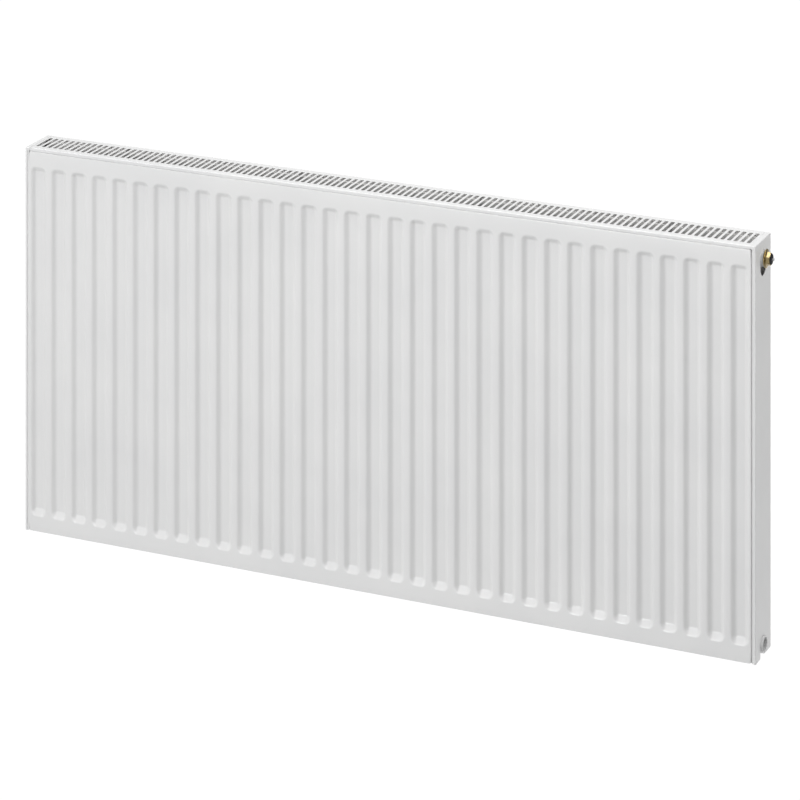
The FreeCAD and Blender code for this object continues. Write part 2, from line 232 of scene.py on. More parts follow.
def folded_sheet(name, corners, radius, thickness, place, low, high, steps=4):
    """Sheet bent along a 2-D path, thickness to its left, and drawn out from low to high.

    place(u, v, w) turns path coordinates and the run coordinate into a point.
    """
    path = rounded_path(corners, radius, steps)
    offset = []
    for i, point in enumerate(path):
        before = path[max(i - 1, 0)]
        after = path[min(i + 1, len(path) - 1)]
        along = (after - before).normalized()
        offset.append(point + Vector((-along.y, along.x)) * thickness)
    outline = path + offset[::-1]
    count = len(outline)
    verts = [place(p.x, p.y, w) for w in (low, high) for p in outline]
    faces = [(i, (i + 1) % count, count + (i + 1) % count, count + i) for i in range(count)]
    half = len(path)
    for base in (0, count):
        for i in range(half - 1):
            faces.append((base + i, base + i + 1, base + count - 2 - i, base + count - 1 - i))
    return split_normals_by_angle(link_mesh(name, verts, faces), 40.0)


def turned(name, profile, centre, segments=64):
    """A piece lathed round the X axis: profile is a closed list of (distance along it, radius)."""
    along = Vector((1, 0, 0))
    side = Vector((0, 1, 0))
    up = Vector((0, 0, 1))
    verts = []
    for k in range(segments):
        angle = 2 * math.pi * k / segments
        out = side * math.cos(angle) + up * math.sin(angle)
        verts += [Vector(centre) + along * a + out * r for a, r in profile]
    count = len(profile)
    faces = []
    for k in range(segments):
        here = k * count
        there = ((k + 1) % segments) * count
        for i in range(count):
            j = (i + 1) % count
            faces.append((here + i, here + j, there + j, there + i))
    return split_normals_by_angle(link_mesh(name, verts, faces), 30.0)


def cad_copy(node, name):
    """A copy of a CAD node with its flat faces made whole, ready for rounding."""
    source = frame["nodes"][node]
    bm = bmesh.new()
    bm.from_mesh(source.data)
    bmesh.ops.remove_doubles(bm, verts=bm.verts, dist=1e-6)
    bmesh.ops.dissolve_limit(bm, angle_limit=math.radians(0.6), verts=bm.verts, edges=bm.edges)
    mesh = bpy.data.meshes.new(name)
    bm.to_mesh(mesh)
    bm.free()
    obj = bpy.data.objects.new(name, mesh)
    bpy.context.scene.collection.objects.link(obj)
    return obj


def block(name, low, high):
    """A box mesh between two corners."""
    xs, ys, zs = zip(low, high)
    corners = [Vector((x, y, z)) for x in xs for y in ys for z in zs]
    faces = [(0, 1, 3, 2), (4, 6, 7, 5), (0, 4, 5, 1), (2, 3, 7, 6), (0, 2, 6, 4), (1, 5, 7, 3)]
    return link_mesh(name, corners, faces, smooth=False)


def cut_by(obj, cutters):
    """Takes closed cutter meshes out of a piece."""
    for cutter in cutters:
        boolean = obj.modifiers.new("cut", "BOOLEAN")
        boolean.operation = "DIFFERENCE"
        boolean.solver = "EXACT"
        boolean.object = cutter
    apply_modifiers(obj)
    for cutter in cutters:
        bpy.data.objects.remove(cutter)
    return obj


# ---------------------------------------------------------------- pieces

def groove_share(u, z):
    """How far a point lies down a groove: 0 on the land, 1 on the floor; and how far it is eased."""
    wall = min((MOUTH_RADIUS - abs(u)) / (MOUTH_RADIUS - FLOOR_RADIUS), 1.0)
    low = min((z - GROOVE_BOTTOM) / SCOOP, 1.0)
    high = min((GROOVE_TOP - z) / TOP_RUN, 1.0)
    ramp = min(low, high)
    off = math.hypot(1 - wall, 1 - ramp)
    ease = WALL_EASE
    if off > 0 and low < 1.0:
        ease += (RAMP_EASE - WALL_EASE) * ((1 - ramp) / off) ** 2
    return 1 - off, ease


def eased(share, ease):
    """Smooth step from 0 to 1: a straight slope whose two ends are rounded off, ease wide each."""
    half = ease / 2
    level = share * (1 + ease) - half
    if level <= -half:
        return 0.0
    if level < half:
        return (level + half) ** 2 / (4 * half)
    if level > 1 + half:
        return 1.0
    if level > 1 - half:
        return 1 - (1 + half - level) ** 2 / (4 * half)
    return level


def face_depth(x, z):
    """How far the pressed sheet lies behind the panel's flat face at a point."""
    across = FACE_HALF - abs(x)
    upward = min(z - FACE_BOTTOM, FACE_TOP - z)
    inset = min(across, upward)
    if across < FACE_CORNER and upward < FACE_CORNER:
        inset = FACE_CORNER - math.hypot(FACE_CORNER - across, FACE_CORNER - upward)
    if inset < 0:
        return SEAM_DROP
    if inset < RIM_RADIUS:
        return RIM_RADIUS - math.sqrt(RIM_RADIUS ** 2 - (RIM_RADIUS - inset) ** 2)
    index = round(x / PITCH)
    if abs(index) > (GROOVES - 1) / 2:
        return 0.0
    share, ease = groove_share(x - index * PITCH, z)
    return GROOVE_DEPTH * eased(share, ease)


def sheet_stations():
    """Grid lines of a pressed sheet: close together on walls, rims and groove ends."""
    rim = [inset * MM for inset in (0.0, 0.03, 0.12, 0.3, 0.55, 0.85, 1.2, 1.6)]
    wall_steps = 12
    floor_step = 2 * MM
    wall = MOUTH_RADIUS - FLOOR_RADIUS
    edge = FACE_HALF + SEAM_WIDTH
    xs = [-edge, -FACE_HALF - SEAM_STEP] + [-FACE_HALF + inset for inset in rim]
    for k in range(GROOVES):
        centre = (k - (GROOVES - 1) / 2) * PITCH
        for side in (-1, 1):
            for i in range(wall_steps + 1):
                share = i / wall_steps if side < 0 else 1 - i / wall_steps
                xs.append(centre + side * (MOUTH_RADIUS - wall * share))
            if side < 0:
                xs += [centre - floor_step, centre, centre + floor_step]
        xs.append(centre + PITCH / 2)
    xs += [FACE_HALF - inset for inset in rim[::-1]] + [FACE_HALF + SEAM_STEP, edge]
    xs = sorted(x for x in set(round(x, 7) for x in xs) if abs(x) <= edge + 0.01 * MM)
    below_grooves = 12 * MM
    above_grooves = 580 * MM
    end_rows = 30
    end_span = 18 * MM
    over = 2.5 * MM
    long_rows = 9
    long_span = GROOVE_TOP - GROOVE_BOTTOM - 2 * end_span
    zs = [0.0, FACE_BOTTOM - SEAM_STEP] + [FACE_BOTTOM + inset for inset in rim] + [below_grooves]
    zs += [GROOVE_BOTTOM - over + end_span * i / end_rows for i in range(end_rows + 1)]
    zs += [GROOVE_BOTTOM + end_span + long_span * i / long_rows for i in range(long_rows + 1)]
    zs += [GROOVE_TOP + over - end_span * i / end_rows for i in range(end_rows, -1, -1)]
    zs += [above_grooves] + [FACE_TOP - inset for inset in rim[::-1]]
    zs += [FACE_TOP + SEAM_STEP, FACE_TOP + SEAM_WIDTH]
    return xs, sorted(set(round(z, 7) for z in zs))


def pressed_sheet(name):
    """The front panel's visible sheet, with its grooves, rim and seam flange."""
    xs, zs = sheet_stations()
    front_y = PANEL_LOW.y
    verts = [(x, front_y + face_depth(x, z), z) for z in zs for x in xs]
    columns = len(xs)
    faces = []
    for row in range(len(zs) - 1):
        for column in range(columns - 1):
            corner = row * columns + column
            faces.append((corner, corner + 1, corner + columns + 1, corner + columns))
    obj = link_mesh(name, verts, faces)
    if obj.data.polygons[0].normal.y > 0:
        obj.data.flip_normals()
    solid = obj.modifiers.new("sheet", "SOLIDIFY")
    solid.thickness = SHEET
    solid.offset = -1.0
    apply_modifiers(obj)
    return split_normals_by_angle(obj, 50.0)


def make_panels():
    front = pressed_sheet("front_panel_face")
    rear = mirrored_copy(front, "rear_panel_face", "Y", MID_Y)
    finish_piece(front, "front_outer_sheet", "radiator_body", "white_enamel")
    finish_piece(rear, "rear_outer_sheet", "radiator_body", "white_enamel")


def grille_profile():
    """Half-section of the grille from the front lip's foot to the middle, outer side, (y, z)."""
    foot = Vector((MID_Y - HALF_CASING, HEIGHT - LIP))
    corner = Vector((MID_Y - HALF_CASING, HEIGHT))
    inner = Vector((MID_Y - SLOT_HALF_LENGTH, HEIGHT))
    return [foot] + rounded_path([foot, corner, inner], BEND, 5)[1:]


def make_grille():
    """Slotted sheet with rolled lips; the slots have eased corners and rounded edges.

    A column of faces is, by its kind, a slot's first eased side (0), its middle (1), its second
    eased side (2) or the bar beside it (3).
    """
    ease = 1.0 * MM
    front = grille_profile()
    section = front[:-1] + [front[-1], front[-1] + Vector((ease, 0))]
    back = [Vector((2 * MID_Y - p.x, p.y)) for p in section[::-1]]
    section = section + back
    rows = len(section)
    slot_start = len(front)
    half_x = GRILLE_HIGH.x
    xs = [-half_x]
    for k in range(SLOTS):
        centre = (k - (SLOTS - 1) / 2) * SLOT_PITCH
        half = SLOT_HALF_WIDTH
        xs += [centre - half, centre - half + ease, centre + half - ease, centre + half]
    xs.append(half_x)
    verts = [(x, p.x, p.y) for x in xs for p in section]
    faces = []
    open_low = slot_start - 1
    open_high = rows - slot_start - 1
    for column in range(len(xs) - 1):
        kind = (column - 1) % 4
        for row in range(rows - 1):
            a = column * rows + row
            b = a + rows
            quad = (a, b, b + 1, a + 1)
            if kind == 3 or row < open_low or row > open_high:
                faces.append(quad)
            elif kind == 0 and row == open_low:
                faces.append((a, b, a + 1))
            elif kind == 0 and row == open_high:
                faces.append((a, b + 1, a + 1))
            elif kind == 2 and row == open_low:
                faces.append((a, b, b + 1))
            elif kind == 2 and row == open_high:
                faces.append((b, b + 1, a + 1))
    obj = link_mesh("grille_top", verts, faces)
    middle = min(obj.data.polygons, key=lambda f: abs(f.center.x) + abs(f.center.y - MID_Y))
    if middle.normal.z < 0:
        obj.data.flip_normals()
    solid = obj.modifiers.new("sheet", "SOLIDIFY")
    solid.thickness = CASING
    solid.offset = -1.0
    apply_modifiers(obj)
    bevelled(obj, 0.22 * MM, 2, 60.0)
    finish_piece(obj, "top_grille", "grille", "white_enamel")


def port_cutter(z_low, z_high, closed_low=True):
    """Upright obround prism through the right cover's side, or one with a square foot."""
    steps = 16
    radius = PORT_HOLE
    outline = []
    for k in range(steps + 1):
        angle = math.pi * k / steps
        outline.append((radius * math.cos(angle), z_high + radius * math.sin(angle)))
    for k in range(steps + 1):
        angle = math.pi + math.pi * k / steps
        drop = radius * math.sin(angle) if closed_low else 0.0
        outline.append((radius * math.cos(angle), z_low + drop))
    if not closed_low:
        outline = outline[:steps + 1] + [(-radius, z_low), (radius, z_low)]
    reach = 4 * MM
    count = len(outline)
    verts = [(x, MID_Y + u, z) for x in (HALF_LENGTH - reach, HALF_LENGTH + reach) for u, z in outline]
    faces = [tuple(range(count)), tuple(range(2 * count - 1, count - 1, -1))]
    faces += [(i, (i + 1) % count, count + (i + 1) % count, count + i) for i in range(count)]
    return link_mesh("cutter", verts, faces, smooth=False)


def make_right_cover():
    """Folded end cover: side with rolled edges, lips, top flange, ears and filled corners."""
    outer = HALF_LENGTH
    front = MID_Y - HALF_CASING
    back = MID_Y + HALF_CASING
    lip_x = outer - COVER_LIP
    ledge = front + LEDGE_DROP
    plan = [(LEDGE_EDGE, ledge), (lip_x, ledge), (lip_x, front), (outer, front)]
    plan += [(x, 2 * MID_Y - y) for x, y in plan[::-1]]
    inside_bend = 0.3 * MM
    lip_bend = 0.85 * MM
    bends = (inside_bend, lip_bend, SIDE_BEND, SIDE_BEND, lip_bend, inside_bend)
    side_top = HEIGHT - BEND
    side = folded_sheet("side", plan, bends, CASING, lambda u, v, w: Vector((u, v, w)), 0.0, side_top)
    port = port_cutter(SLOT_FOOT + PORT_HOLE, UPPER_PORT_Z)
    notch = port_cutter(-5 * MM, LOWER_PORT_Z, closed_low=False)
    above_lips = []
    for y in (front, back):
        low = (outer - 3 * COVER_LIP, y - 2 * MM, HEIGHT - LIP)
        above_lips.append(block("cutter", low, (outer - SIDE_BEND, y + 2 * MM, HEIGHT)))
    cut_by(side, [port, notch] + above_lips)
    relief = 0.35 * MM
    section = [(outer, side_top), (outer, HEIGHT), (outer - FLANGE, HEIGHT)]
    flange = folded_sheet(
        "flange", section, BEND - 0.01 * MM, CASING, lambda u, v, w: Vector((u, w, v)),
        front + BEND + relief, back - BEND - relief, 5,
    )
    pieces = [side, flange]
    skin = 0.02 * MM
    for edge, way in ((front, 1), (back, -1)):
        roll = [(edge, HEIGHT - LIP), (edge, HEIGHT), (edge + way * (BEND + relief), HEIGHT)]
        ear = folded_sheet(
            "ear", roll, BEND, CASING * -way, lambda u, v, w: Vector((w, u, v)),
            outer - FLANGE, outer - SIDE_BEND, 5,
        )
        pieces.append(ear)
        corner_low = (outer - 2 * BEND, edge + way * skin, HEIGHT - 2 * BEND)
        corner_high = (outer - skin, edge + way * 2 * BEND, HEIGHT - skin)
        pieces.append(bevelled(block("corner", corner_low, corner_high), 1.4 * MM, 4, 40.0))
    cover = joined("right_end_cover", pieces)
    return bevelled(cover, 0.18 * MM, 2, 60.0)


def make_covers():
    right = make_right_cover()
    left = weighted_normals(mirrored_copy(right, "left_end_cover", "X"))
    finish_piece(right, "right_side_cover", "right_cover", "white_enamel")
    finish_piece(left, "left_side_cover", "left_cover", "white_enamel")


def make_convector():
    """Folded fin sheet with rounded folds."""
    folds = 32
    base = 4.0 * MM
    crest = 8.0 * MM
    bend = 1.2 * MM
    thickness = 0.5 * MM
    near = CONVECTOR_LOW.y
    far = CONVECTOR_HIGH.y - thickness
    corners = []
    for k in range(folds):
        land = (k - (folds - 1) / 2) * PITCH
        if k > 0:
            corners += [(land - PITCH / 2 - crest, far), (land - PITCH / 2 + crest, far)]
        corners += [(land - base, near), (land + base, near)]
    fins = folded_sheet(
        "convector_fins", corners, bend, thickness, lambda u, v, w: Vector((u, v, w)),
        CONVECTOR_LOW.z, CONVECTOR_HIGH.z, 3,
    )
    finish_piece(fins, "convector", "radiator_body", "inner_primer")


def make_port(name, node, box_low, box_high):
    """Tee with an eased socket mouth, thread ridges inside and a cross tube."""
    sign = 1 if box_high.x > 0 else -1
    face = max(abs(box_low.x), abs(box_high.x))
    cross_x = face - CROSS_SETBACK
    z = (box_low.z + box_high.z) / 2
    radius = 12.0 * MM
    bore = 9.5 * MM
    water = 8.0 * MM
    round_off = 0.8 * MM
    round_mid = 0.25 * MM
    profile = [(cross_x, water), (cross_x, radius), (face - round_off, radius)]
    profile += [(face - round_mid, radius - round_mid), (face, radius - round_off)]
    profile += [(face, bore + 1.1 * MM), (face - 0.9 * MM, bore + 0.1 * MM)]
    turns = 9
    pitch = THREAD_PITCH
    thread = 0.9 * MM
    for k in range(turns):
        start = face - 1.0 * MM - k * pitch
        profile += [(start - 0.1 * pitch, bore), (start - 0.5 * pitch, bore + thread)]
        profile.append((start - 0.9 * pitch, bore))
    end = face - SOCKET_DEPTH
    profile += [(end, bore), (end, water)]
    socket = turned("socket", profile, (0, MID_Y, z), segments=96)
    half = box_high.y - MID_Y
    cross_radius = (box_high.z - box_low.z) / 2
    cross_bore = 9 * MM
    tube_profile = [(-half, cross_bore), (-half, cross_radius), (half, cross_radius), (half, cross_bore)]
    cross = turned("cross", tube_profile, (0, 0, 0), segments=64)
    turn = Matrix.Translation((cross_x, MID_Y, z)) @ Matrix.Rotation(math.pi / 2, 4, "Z")
    cross.data.transform(turn)
    tee = joined(name, [socket, cross])
    if sign < 0:
        tee.data.transform(Matrix.Diagonal((-1, 1, 1, 1)))
        tee.data.flip_normals()
    split_normals_by_angle(tee, 30.0)
    finish_piece(tee, node, "radiator_body", "white_enamel")


def make_ports():
    for level in ("upper", "lower"):
        for side in ("left", "right"):
            node = level + "_" + side + "_port"
            low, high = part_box(node)
            make_port(level + "_" + side + "_socket", node, low, high)


def hexagon_nut(name, start, length, z, hollow):
    """Hexagon with turned-off corners along +X; a flat faces the room. hollow: rings inside it.

    A ring is a distance along the axis, the apothem of its hexagon and the radius it is turned to.
    """
    segments = 96
    half = HEX_ACROSS / 2
    shoulder = length - 0.9 * MM
    edge = length - 0.4 * MM
    rings = [(0.0, half, 2 * half), (shoulder, half, 2 * half)]
    rings += [(edge, half, half * 1.065), (length, half, half * 0.975)] + hollow
    verts = []
    for along, apothem, limit in rings:
        for k in range(segments):
            angle = 2 * math.pi * k / segments
            off = ((angle + math.pi / 6) % (math.pi / 3)) - math.pi / 6
            radius = min(apothem / math.cos(off), limit)
            verts.append((start + along, MID_Y + radius * math.cos(angle), z + radius * math.sin(angle)))
    faces = []
    for ring in range(len(rings)):
        after = (ring + 1) % len(rings) * segments
        for k in range(segments):
            beside = (k + 1) % segments
            faces.append((ring * segments + k, ring * segments + beside, after + beside, after + k))
    return split_normals_by_angle(link_mesh(name, verts, faces), 25.0)


def plug_body(name, face, z, head_length, cavity, floor, hollow):
    """Flange, hexagon and threaded stem, facing +X; cavity is the radius bored down to the floor."""
    stem_end = face - 11 * MM
    core = 0.01 * MM
    root = 8.6 * MM
    crest = 9.45 * MM
    stem = [(stem_end, core), (stem_end, root)]
    turns = 5
    pitch = THREAD_PITCH
    for k in range(turns):
        start = stem_end + 0.4 * MM + k * pitch
        stem += [(start, root), (start + 0.5 * pitch, crest), (start + 0.95 * pitch, root)]
    r = FLANGE_RADIUS
    rim = 0.45 * MM
    rim_mid = 0.13 * MM
    end = face + FLANGE_THICKNESS
    stem += [(face, root), (face, r - rim), (face + rim_mid, r - rim_mid), (face + rim, r)]
    stem += [(end - rim, r), (end - rim_mid, r - rim_mid), (end, r - rim)]
    stem += [(end, cavity), (floor, cavity), (floor, core)]
    body = turned("turned", stem, (0, MID_Y, z), segments=96)
    nut = hexagon_nut("nut", end - NUT_OVERLAP, head_length + NUT_OVERLAP, z, hollow)
    return joined(name, [body, nut])


def make_vent_body():
    """Brass plug whose hexagon is bored out for the nozzle and the spindle."""
    face = PLUG_HIGH.x - HEX_LENGTH - FLANGE_THICKNESS
    length = HEX_LENGTH + NUT_OVERLAP
    seat = length - 1.7 * MM
    neck = 5.0 * MM
    recess = 7.0 * MM
    core = 0.01 * MM
    hollow = [(length, recess, recess), (seat, recess, recess), (seat, neck, neck), (length, neck, neck)]
    hollow += [(length, core, core), (0.0, core, core)]
    body = plug_body("vent_plug", face, UPPER_PORT_Z, HEX_LENGTH, core, face + MM, hollow)
    finish_piece(body, "vent_plug_body", "radiator_body", "brass")


def make_vent_nozzle():
    """Plastic ring with ribs round its rim, an outlet hole below and a grip rib above."""
    z = UPPER_PORT_Z
    start = NOZZLE_LOW.x
    disc = PLUG_HIGH.x + 0.2 * MM
    front = disc + MM
    insert = 6.8 * MM
    r = NOZZLE_HIGH.z - z
    bore = 5.05 * MM
    hole = 2.6 * MM
    ring = [(start, bore), (start, insert - 0.2 * MM), (start + 0.2 * MM, insert), (disc, insert)]
    ring += [(disc, r - 0.4 * MM), (disc + 0.2 * MM, r - 0.15 * MM), (front - 0.3 * MM, r - 0.15 * MM)]
    ring += [(front - 0.08 * MM, r - 0.35 * MM), (front, r - 0.7 * MM), (front, hole + 0.25 * MM)]
    ring += [(front - 0.2 * MM, hole), (front - 0.8 * MM, hole), (front - 0.8 * MM, bore)]
    shell = turned("ring", ring, (0, MID_Y, z), segments=96)
    axis = 0.01 * MM
    outlet_radius = 0.7 * MM
    outlet_section = [(-MM, axis), (-MM, outlet_radius), (MM, outlet_radius), (MM, axis)]
    outlet = turned("outlet", outlet_section, (0, 0, 0), segments=24)
    outlet.data.transform(Matrix.Translation((front, MID_Y, z - 4 * MM)))
    pieces = [cut_by(shell, [outlet])]
    ribs = 24
    rib_half = 0.3 * MM
    for k in range(ribs):
        rib_low = (disc + 0.25 * MM, -rib_half, r - 0.5 * MM)
        rib = block("rib", rib_low, (front - 0.3 * MM, rib_half, r))
        turn = Matrix.Rotation(2 * math.pi * k / ribs, 4, "X")
        rib.data.transform(Matrix.Translation((0, MID_Y, z)) @ turn)
        pieces.append(rib)
    grip_half = 0.6 * MM
    grip_low = (front - 0.2 * MM, MID_Y - grip_half, z + 3.4 * MM)
    pieces.append(block("grip", grip_low, (NOZZLE_HIGH.x, MID_Y + grip_half, z + 7.2 * MM)))
    nozzle = bevelled(joined("vent_nozzle_ring", pieces), 0.1 * MM, 2, 50.0)
    finish_piece(nozzle, "vent_swivel_nozzle", "vent_nozzle", "black_plastic")


def make_vent_spindle():
    """Round shaft with a square key end."""
    z = UPPER_PORT_Z
    inner = SPINDLE_LOW.x
    step = SPINDLE_HIGH.x - 4.5 * MM
    radius = 2.5 * MM
    chamfer = 0.4 * MM
    screw = [(inner, 0.4 * MM), (inner, radius - chamfer), (inner + chamfer, radius), (step, radius)]
    screw += [(step + 0.02 * MM, 0.4 * MM)]
    shaft = turned("shaft", screw, (0, MID_Y, z), segments=40)
    half = 1.6 * MM
    square = block("square", (step, MID_Y - half, z - half), (SPINDLE_HIGH.x, MID_Y + half, z + half))
    square = bevelled(square, 0.3 * MM, 2, 40.0)
    spindle = split_normals_by_angle(joined("vent_key_spindle", [shaft, square]), 35.0)
    finish_piece(spindle, "vent_spindle", "vent_key", "bright_steel")


def make_blanking_plug():
    """Brass plug with a shallow head and a hexagon socket, facing -X."""
    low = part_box("blanking_plug")[0]
    head_length = 1.6 * MM
    face = -low.x - head_length - FLANGE_THICKNESS
    length = head_length + NUT_OVERLAP
    key = 5.0 * MM
    deep = -5 * MM
    wall = 5.85 * MM
    hollow = [(length, key, 2 * key), (deep, key, 2 * key), (deep, wall, wall), (0.0, wall, wall)]
    plug = plug_body("end_plug", face, UPPER_PORT_Z, head_length, 5.9 * MM, face - 7 * MM, hollow)
    plug.data.transform(Matrix.Diagonal((-1, 1, 1, 1)))
    plug.data.flip_normals()
    split_normals_by_angle(plug, 25.0)
    finish_piece(plug, "blanking_plug", "radiator_body", "brass")


def make_seals():
    """Flat rings with a rounded rim under the two brass flanges."""
    seals = (("vent_plug_seal", "vent_gasket", 1), ("blanking_plug_seal", "plug_gasket", -1))
    for node, name, sign in seals:
        low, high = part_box(node)
        start = min(abs(low.x), abs(high.x))
        end = max(abs(low.x), abs(high.x))
        outer = (high.z - low.z) / 2
        inner = 9.5 * MM
        bulge = 0.5 * MM
        steps = 8
        ring = [(start, inner)]
        for k in range(steps + 1):
            angle = math.pi * k / steps
            along = start + (end - start) * (1 - math.cos(angle)) / 2
            ring.append((along, outer - bulge + bulge * math.sin(angle)))
        ring.append((end, inner))
        seal = turned(name, ring, (0, MID_Y, UPPER_PORT_Z), segments=72)
        if sign < 0:
            seal.data.transform(Matrix.Diagonal((-1, 1, 1, 1)))
            seal.data.flip_normals()
        finish_piece(seal, node, "radiator_body", "seal_rubber")


def make_lugs():
    """Bridge straps with rolled bends."""
    for level in ("lower", "upper"):
        for side in ("left", "right"):
            node = level + "_" + side + "_hanging_lug"
            low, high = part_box(node)
            thickness = 2 * MM
            foot = 9 * MM
            corners = [
                (high.x, low.y), (high.x - foot, low.y), (high.x - foot, high.y - thickness),
                (low.x + foot, high.y - thickness), (low.x + foot, low.y), (low.x, low.y),
            ]
            lug = folded_sheet(
                level + "_" + side + "_lug", corners, 1.0 * MM, -thickness,
                lambda u, v, w: Vector((u, v, w)), low.z, high.z, 4,
            )
            bevelled(lug, 0.3 * MM, 2, 60.0)
            finish_piece(lug, node, "radiator_body", "white_enamel")


def make_small_parts():
    """Brackets, hooks and clips keep their CAD shape, with eased edges."""
    jobs = [
        ("left_cover_brackets", "radiator_body", "white_enamel", 0.3),
        ("right_cover_brackets", "radiator_body", "white_enamel", 0.3),
        ("left_cover_hooks", "left_cover", "white_enamel", 0.3),
        ("right_cover_hooks", "right_cover", "white_enamel", 0.3),
        ("grille_clips", "grille", "spring_steel", 0.18),
    ]
    for node, body, slot, width in jobs:
        piece = bevelled(cad_copy(node, node + "_shape"), width * MM, 2, 40.0)
        finish_piece(piece, node, body, slot)


# ---------------------------------------------------------------- materials

def new_material(name):
    material = bpy.data.materials.new(name)
    material.use_nodes = True
    nodes = material.node_tree.nodes
    return material, nodes, material.node_tree.links, nodes["Principled BSDF"]


def noise(nodes, links, coords, scale, detail=4.0, roughness=0.55):
    texture = nodes.new("ShaderNodeTexNoise")
    texture.inputs["Scale"].default_value = scale
    texture.inputs["Detail"].default_value = detail
    texture.inputs["Roughness"].default_value = roughness
    links.new(coords, texture.inputs["Vector"])
    return texture.outputs["Fac"]


def remap(nodes, links, value, low, high, from_low=0.3, from_high=0.7):
    """Linear map of a value onto low to high."""
    node = nodes.new("ShaderNodeMapRange")
    node.inputs["From Min"].default_value = from_low
    node.inputs["From Max"].default_value = from_high
    node.inputs["To Min"].default_value = low
    node.inputs["To Max"].default_value = high
    links.new(value, node.inputs["Value"])
    return node.outputs["Result"]


def tint(nodes, links, fac, dark, light):
    """Colour between two tints."""
    ramp = nodes.new("ShaderNodeValToRGB")
    ramp.color_ramp.elements[0].color = (*dark, 1.0)
    ramp.color_ramp.elements[1].color = (*light, 1.0)
    ramp.color_ramp.elements[0].position = 0.3
    ramp.color_ramp.elements[1].position = 0.7
    links.new(fac, ramp.inputs["Fac"])
    return ramp.outputs["Color"]


def bump(nodes, links, height, strength, distance, normal=None):
    node = nodes.new("ShaderNodeBump")
    node.inputs["Strength"].default_value = strength
    node.inputs["Distance"].default_value = distance
    links.new(height, node.inputs["Height"])
    if normal is not None:
        links.new(normal, node.inputs["Normal"])
    return node.outputs["Normal"]


def object_coords(nodes):
    return nodes.new("ShaderNodeTexCoord").outputs["Object"]


def enamel_material():
    """Satin baked enamel: fine orange peel, slow sheet waviness, faint tone changes."""
    material, nodes, links, shader = new_material("white_enamel")
    coords = object_coords(nodes)
    slow = noise(nodes, links, coords, 9.0, 2.0)
    colour = tint(nodes, links, slow, (0.735, 0.737, 0.738), (0.765, 0.766, 0.764))
    links.new(colour, shader.inputs["Base Color"])
    patches = noise(nodes, links, coords, 55.0, 3.0)
    links.new(remap(nodes, links, patches, 0.30, 0.40), shader.inputs["Roughness"])
    waves = bump(nodes, links, noise(nodes, links, coords, 14.0, 1.0), 0.25, 0.0006)
    peel = bump(nodes, links, noise(nodes, links, coords, 900.0, 2.0), 0.12, 0.00008, waves)
    links.new(peel, shader.inputs["Normal"])
    shader.inputs["Specular IOR Level"].default_value = 0.5
    shader.inputs["Coat Weight"].default_value = 0.25
    shader.inputs["Coat Roughness"].default_value = 0.12
    return material


def primer_material():
    """Thin grey coat on the inner sheets and the convector, with dry spray mottling."""
    material, nodes, links, shader = new_material("inner_primer")
    coords = object_coords(nodes)
    mottling = noise(nodes, links, coords, 30.0, 4.0)
    colour = tint(nodes, links, mottling, (0.72, 0.71, 0.70), (0.79, 0.785, 0.775))
    links.new(colour, shader.inputs["Base Color"])
    grain = noise(nodes, links, coords, 700.0, 3.0)
    links.new(remap(nodes, links, grain, 0.55, 0.7), shader.inputs["Roughness"])
    links.new(bump(nodes, links, grain, 0.15, 0.00005), shader.inputs["Normal"])
    return material


def brass_material():
    """Turned brass: fine lathe lines round the X axis and slight tarnish."""
    material, nodes, links, shader = new_material("brass")
    coords = object_coords(nodes)
    tarnish = noise(nodes, links, coords, 260.0, 5.0)
    colour = tint(nodes, links, tarnish, (0.41, 0.315, 0.15), (0.56, 0.45, 0.25))
    links.new(colour, shader.inputs["Base Color"])
    shader.inputs["Metallic"].default_value = 1.0
    smears = noise(nodes, links, coords, 700.0, 3.0)
    links.new(remap(nodes, links, smears, 0.15, 0.25), shader.inputs["Roughness"])
    lines = nodes.new("ShaderNodeTexWave")
    lines.wave_type = "BANDS"
    lines.bands_direction = "X"
    lines.inputs["Scale"].default_value = 1800.0
    lines.inputs["Distortion"].default_value = 1.5
    links.new(coords, lines.inputs["Vector"])
    links.new(bump(nodes, links, lines.outputs["Fac"], 0.15, 0.00003), shader.inputs["Normal"])
    return material


def plastic_material():
    """Black moulded plastic with a fine spark-eroded grain."""
    material, nodes, links, shader = new_material("black_plastic")
    coords = object_coords(nodes)
    grain = noise(nodes, links, coords, 2200.0, 3.0)
    colour = tint(nodes, links, grain, (0.006, 0.006, 0.006), (0.014, 0.014, 0.015))
    links.new(colour, shader.inputs["Base Color"])
    links.new(remap(nodes, links, grain, 0.38, 0.55), shader.inputs["Roughness"])
    shader.inputs["Specular IOR Level"].default_value = 0.25
    links.new(bump(nodes, links, grain, 0.3, 0.00004), shader.inputs["Normal"])
    return material


def rubber_material():
    """Dull black rubber."""
    material, nodes, links, shader = new_material("seal_rubber")
    coords = object_coords(nodes)
    grain = noise(nodes, links, coords, 1200.0, 4.0)
    colour = tint(nodes, links, grain, (0.012, 0.012, 0.012), (0.028, 0.028, 0.028))
    links.new(colour, shader.inputs["Base Color"])
    links.new(remap(nodes, links, grain, 0.6, 0.8), shader.inputs["Roughness"])
    links.new(bump(nodes, links, grain, 0.3, 0.00005), shader.inputs["Normal"])
    return material


def steel_material(name, dark, light, scale):
    """Bare or plated steel with drawn lines along Z."""
    material, nodes, links, shader = new_material(name)
    mapping = nodes.new("ShaderNodeMapping")
    mapping.inputs["Scale"].default_value = (1.0, 1.0, 0.08)
    links.new(object_coords(nodes), mapping.inputs["Vector"])
    drawn = noise(nodes, links, mapping.outputs["Vector"], scale, 4.0)
    colour = tint(nodes, links, drawn, dark, light)
    links.new(colour, shader.inputs["Base Color"])
    shader.inputs["Metallic"].default_value = 1.0
    links.new(remap(nodes, links, drawn, 0.25, 0.42), shader.inputs["Roughness"])
    links.new(bump(nodes, links, drawn, 0.2, 0.00004), shader.inputs["Normal"])
    return material


